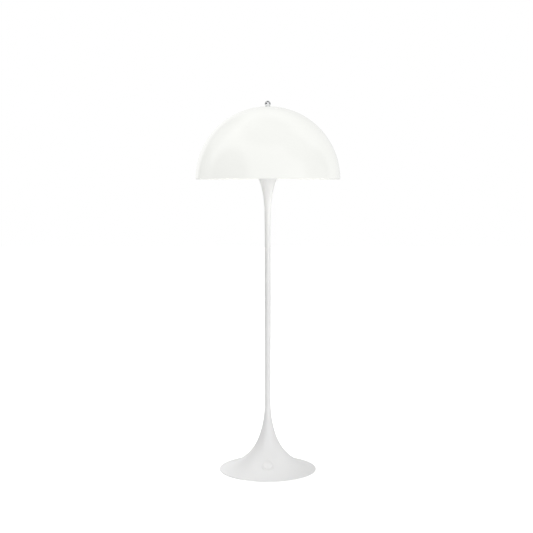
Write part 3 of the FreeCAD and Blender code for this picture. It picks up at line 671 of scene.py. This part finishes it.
CAP_RADIUS = 17.0
CAP_INNER = 15.0
CAP_FLOOR = 1012.0
CAP_TOP = 1022.0
SLEEVE_RADIUS = 19.5
SLEEVE_INNER = 17.5
SLEEVE_MOUTH = 15.4
SLEEVE_FOOT = 14.9
SLEEVE_TOP = 1061.0
cap = rounded([
    (NIPPLE_CLEAR, HOLDER_SEAT), (CAP_RADIUS, HOLDER_SEAT), (CAP_RADIUS, CAP_TOP),
    (CAP_INNER, CAP_TOP), (CAP_INNER, CAP_FLOOR), (NIPPLE_CLEAR, CAP_FLOOR)], 0.8)
mesh_piece("holder_moulded_cap", *turned(cap, 96), nylon, "stand", "terminal_plastic",
           "lampholder_cap")
sleeve = rounded([
    (SLEEVE_FOOT, CAP_TOP), (SLEEVE_RADIUS, CAP_TOP), (SLEEVE_RADIUS, SLEEVE_TOP),
    (SLEEVE_MOUTH, SLEEVE_TOP), (SLEEVE_MOUTH, SLEEVE_TOP - 2.0),
    (SLEEVE_INNER, SLEEVE_TOP - 3.0), (SLEEVE_INNER, CAP_TOP + 3.0),
    (SLEEVE_FOOT, CAP_TOP + 3.0)], 0.8)
mesh_piece("holder_moulded_sleeve", *turned(sleeve, 96), nylon, "stand", "terminal_plastic",
           "lampholder_sleeve")
dress(ceramic, "lampholder_insert")
dress(brass, "lampholder_contact")
dress(nickel, "lampholder_shell")

# ---- Bulb ----
# A screw-cap lamp, lit: a solder tip, black glass, a nickelled cap, a white housing and a
# frosted globe.

# Black glass: pressed, smooth.
black_glass, tree, shader = surface("Black vitrite glass", "121214", 0.15)
uneven(tree, shader, ("101012", "151518"), (0.1, 0.2), 2.0, 0.004)

# Polycarbonate housing: moulded, white, half gloss.
housing_plastic, tree, shader = surface("Polycarbonate, moulded white", "EBEBE8", 0.35)
uneven(tree, shader, ("E9E9E6", "EDEDEA"), (0.3, 0.4), 0.6, 0.005)

# Frosted globe: opal polycarbonate, warm white where the light comes through.
BULB_GLOW = 84.0
frosted, tree, shader = surface("Opal polycarbonate, lit", "FFF8EC", 0.35, {
    "Emission Color": to_linear("FBF9E8"), "Emission Strength": BULB_GLOW})
uneven(tree, shader, ("FFF8EC", "FDF5E8"), (0.3, 0.4), 5.0, 0.004)

GLOBE_RADIUS = 30.0
GLOBE_CENTRE = 1106.0
GLOBE_BOTTOM = 1088.0
GLOBE_WALL = 1.2
HOUSING_NECK = 10.8
HOUSING_LOW = 1043.0
FLARE_LOW = 1055.0
globe_edge = math.sqrt(GLOBE_RADIUS ** 2 - (GLOBE_CENTRE - GLOBE_BOTTOM) ** 2)
flare = smooth_line([(13.6, FLARE_LOW), (15.5, 1067.0), (20.0, 1079.0),
                     (globe_edge, GLOBE_BOTTOM)], SPAN_STEPS)
housing = np.concatenate([[(0.0, HOUSING_LOW), (HOUSING_NECK, HOUSING_LOW),
                           (HOUSING_NECK, FLARE_LOW)], flare, [(0.0, GLOBE_BOTTOM)]])
mesh_piece("bulb_white_housing", *turned(housing, 96), housing_plastic, "stand", "bulb_housing",
           "bulb_housing")
low = math.degrees(math.asin((GLOBE_BOTTOM - GLOBE_CENTRE) / GLOBE_RADIUS))
shell = arc((0.0, GLOBE_CENTRE), GLOBE_RADIUS, low, 90.0, 40)
shell[-1, 0] = 0.0
hollow = (shell - (0.0, GLOBE_CENTRE)) * (1.0 - GLOBE_WALL / GLOBE_RADIUS) + (0.0, GLOBE_CENTRE)
hollow[0, 1] = GLOBE_BOTTOM
globe = np.concatenate([shell, hollow[::-1]])
mesh_piece("bulb_frosted_globe", *turned(globe, 96), frosted, "stand", "bulb_opal", "bulb_globe")
dress(brass, "bulb_tip")
dress(black_glass, "bulb_insulator")
dress(nickel, "bulb_cap")

# ---- Shade ----
# A half-sphere of opal acrylic, 500 mm across and 3 mm thick, with its rim rounded and polished.
# It rests on a soft washer on the hub. Its even glow is painted on, standing in for the bulb's
# light coming through it.

# Silicone: moulded, milky grey.
silicone, tree, shader = surface("Silicone, moulded", "C9C9C5", 0.5)
uneven(tree, shader, ("C4C4C0", "CECECA"), (0.45, 0.58), 1.5, 0.01)

# Opal acrylic (PMMA): milky through its whole thickness. It throws back a fifth of the light that
# falls on it.
# The bulb's light that would pass through it is painted on as an even glow of fixed strength. The
# glow comes out from under the glossy skin (IOR 1.49), so it dims where the skin is seen at a
# glancing angle.
SHADE_PAINTED_GLOW = 0.755
acrylic, tree, shader = surface("Opal acrylic, blown, painted glow", "7C7C7A", 0.3, {
    "Specular IOR Level": 0.0, "Coat Weight": 1.0, "Coat Roughness": 0.08, "Coat IOR": 1.49,
    "Emission Color": to_linear("FEFFFB"), "Emission Strength": SHADE_PAINTED_GLOW})
uneven(tree, shader, ("7A7A78", "7E7E7C"), (0.28, 0.34), 60.0, 0.25, detail=1.0)

RIM_HEIGHT = 1017.0
SHADE_RADIUS = 250.0
SHADE_WALL = 3.0
SHADE_HOLE = 3.4
SHADE_STEPS = 110
STUD_CLEAR = 3.2
SOFT_WASHER_RADIUS = 15.0
SOFT_WASHER_HEIGHT = 1.0


def shade_arc(radius):
    """From the rim's round up to the hole, on a sphere about the rim's centre."""
    low = math.degrees(math.asin(SHADE_WALL / 2 / radius))
    high = math.degrees(math.acos(SHADE_HOLE / radius))
    return arc((0.0, RIM_HEIGHT), radius, low, high, SHADE_STEPS)


rim = arc((SHADE_RADIUS - SHADE_WALL / 2, RIM_HEIGHT + SHADE_WALL / 2), SHADE_WALL / 2,
          180.0, 360.0, 9)
shade_line = np.concatenate([
    rim[1:-1], shade_arc(SHADE_RADIUS), shade_arc(SHADE_RADIUS - SHADE_WALL)[::-1]])
mesh_piece("opal_shade", *turned(shade_line, 256), acrylic, "stand", "opal_acrylic", "shade")
soft_washer = ring(STUD_CLEAR, SOFT_WASHER_RADIUS, HUB_TOP, HUB_TOP + SOFT_WASHER_HEIGHT)
mesh_piece("shade_soft_washer", *turned(soft_washer, 96), silicone, "stand", "silicone",
           "shade_seat")

# ---- Ball knob ----
# A turned brass ball, polished and chromed, with a blind M6 thread; its washer stays on it.

# Chrome on brass: a mirror with a trace of polishing haze.
chrome, tree, shader = surface("Chrome-plated brass, polished", "EEEFF1", 0.06, {"Metallic": 1.0})
uneven(tree, shader, ("EBECEE", "F1F2F4"), (0.04, 0.08), 3.0, 0.002)

KNOB_RADIUS = 10.6
KNOB_SEAT = 1268.2
KNOB_FLAT = 7.6
KNOB_WASHER = 8.2
KNOB_WASHER_HEIGHT = 1.15
KNOB_THREAD = 3.03
THREAD_END = 1280.2
knob_centre = KNOB_SEAT + math.sqrt(KNOB_RADIUS ** 2 - KNOB_FLAT ** 2)
low = math.degrees(math.asin((KNOB_SEAT - knob_centre) / KNOB_RADIUS))
ball = arc((0.0, knob_centre), KNOB_RADIUS, low, 90.0, 56)
ball[-1, 0] = 0.0
bore = [(0.0, THREAD_END), (KNOB_THREAD, THREAD_END), (KNOB_THREAD, KNOB_SEAT)]
mesh_piece("knob_chrome_ball", *turned(np.concatenate([ball, bore]), 96), chrome, "knob",
           "chrome", "finial_knob")
washer = ring(STUD_CLEAR, KNOB_WASHER, KNOB_SEAT - KNOB_WASHER_HEIGHT, KNOB_SEAT)
mesh_piece("knob_chrome_washer", *turned(washer, 96), chrome, "knob_lifter", "chrome",
           "knob_washer")

# ---- Floor, backdrop and lights ----
# A white seamless floor that keeps the lamp's soft shadow, a white studio round it with darker
# parts that only the glossy surfaces show, and two large soft lights: one from the right front and
# one from above.

# Seamless paper: white and matt. For the camera alone it also glows, so that it runs into the
# white backdrop and the lamp's shadow on it stays faint.
FLOOR_LIFT = 0.62
FLOOR_REACH = 14000.0
floor_white = bpy.data.materials.new("Seamless paper, white")
floor_white.use_nodes = True
tree = floor_white.node_tree
tree.nodes.clear()
seen = add_node(tree, "ShaderNodeLightPath")
paper = add_node(tree, "ShaderNodeBsdfDiffuse", {"Color": to_linear("F4F4F4")})
lift = add_node(tree, "ShaderNodeMath", {0: seen.outputs["Is Camera Ray"], 1: FLOOR_LIFT},
                operation="MULTIPLY")
glow = add_node(tree, "ShaderNodeEmission", {"Strength": lift.outputs[0]})
both = add_node(tree, "ShaderNodeAddShader", {0: paper.outputs[0], 1: glow.outputs[0]})
add_node(tree, "ShaderNodeOutputMaterial", {"Surface": both.outputs[0]})

floor = new_shape("floor", [
    (-FLOOR_REACH, -FLOOR_REACH, 0.0), (FLOOR_REACH, -FLOOR_REACH, 0.0),
    (FLOOR_REACH, FLOOR_REACH, 0.0), (-FLOOR_REACH, FLOOR_REACH, 0.0)], [[0, 1, 2, 3]])
floor.data.materials.append(floor_white)

# The world is white to the eye and a plain fill for everything matt. Glossy surfaces see it white
# too, apart from the studio's darker parts, each a round patch that fades into the white. A patch
# is its azimuth from the front and its height, the angles from its middle at which it starts and
# stops to fade, all in degrees, and its level.
WORLD_FILL = 0.51
STUDIO_PATCHES = [
    (-122.0, 4.0, 12.0, 26.0, 0.40),
    (-134.0, 34.0, 10.0, 26.0, 0.50),
    (-66.0, 6.0, 26.0, 42.0, 0.06),
    (86.0, 10.0, 16.0, 34.0, 0.12),
    (64.0, 46.0, 12.0, 26.0, 0.40),
    (146.0, 10.0, 16.0, 48.0, 0.80),
    (180.0, 56.0, 18.0, 44.0, 0.72),
    (0.0, 82.0, 18.0, 38.0, 0.20),
]
world = bpy.data.worlds.new("studio")
world.use_nodes = True
bpy.context.scene.world = world
tree = world.node_tree
tree.nodes.clear()
way = add_node(tree, "ShaderNodeTexCoord").outputs["Generated"]
mirrored = 1.0
for azimuth, height, core, edge, level in STUDIO_PATCHES:
    flat = math.cos(math.radians(height))
    middle = (flat * math.sin(math.radians(azimuth)), -flat * math.cos(math.radians(azimuth)),
              math.sin(math.radians(height)))
    nearness = add_node(tree, "ShaderNodeVectorMath", {0: way, 1: middle}, operation="DOT_PRODUCT")
    patch = add_node(tree, "ShaderNodeMapRange", {
        "Value": nearness.outputs["Value"], "From Min": math.cos(math.radians(edge)),
        "From Max": math.cos(math.radians(core)), "To Min": 1.0, "To Max": level},
        interpolation_type="SMOOTHSTEP")
    mirrored = add_node(tree, "ShaderNodeMath", {0: patch.outputs[0], 1: mirrored},
                        operation="MULTIPLY").outputs[0]
seen = add_node(tree, "ShaderNodeLightPath")
mirror = add_node(tree, "ShaderNodeMath", {
    0: seen.outputs["Is Glossy Ray"], 1: seen.outputs["Is Transmission Ray"]},
    operation="MAXIMUM")
unseen = add_node(tree, "ShaderNodeMapRange", {
    "Value": mirror.outputs[0], "To Min": WORLD_FILL, "To Max": mirrored})
strength = add_node(tree, "ShaderNodeMath", {
    0: seen.outputs["Is Camera Ray"], 1: unseen.outputs[0]}, operation="MAXIMUM")
sky = add_node(tree, "ShaderNodeBackground", {
    "Color": to_linear("FFFFFF"), "Strength": strength.outputs[0]})
add_node(tree, "ShaderNodeOutputWorld", {"Surface": sky.outputs[0]})


def soft_light(name, place, aim, size, power):
    """A square area light at a place, turned to its aim, which glossy surfaces don't mirror."""
    lamp = bpy.data.lights.new(name, "AREA")
    lamp.size = size
    lamp.energy = power
    lamp_object = bpy.data.objects.new(name, lamp)
    lamp_object.location = place
    way = np.array(aim, float) - np.array(place, float)
    flat = math.hypot(way[0], way[1])
    lamp_object.rotation_euler = (math.atan2(flat, -way[2]), 0.0,
                                  math.atan2(way[1], way[0]) - math.pi / 2)
    lamp_object.visible_glossy = False
    bpy.context.scene.collection.objects.link(lamp_object)


soft_light("key", place=(2.2, -2.6, 1.3), aim=(0.0, 0.0, 0.6), size=1.6, power=43.0)
soft_light("top", place=(-0.9, 0.2, 3.3), aim=(0.0, 0.0, 0.2), size=1.2, power=46.0)

bpy.context.scene.view_settings.view_transform = "Standard"
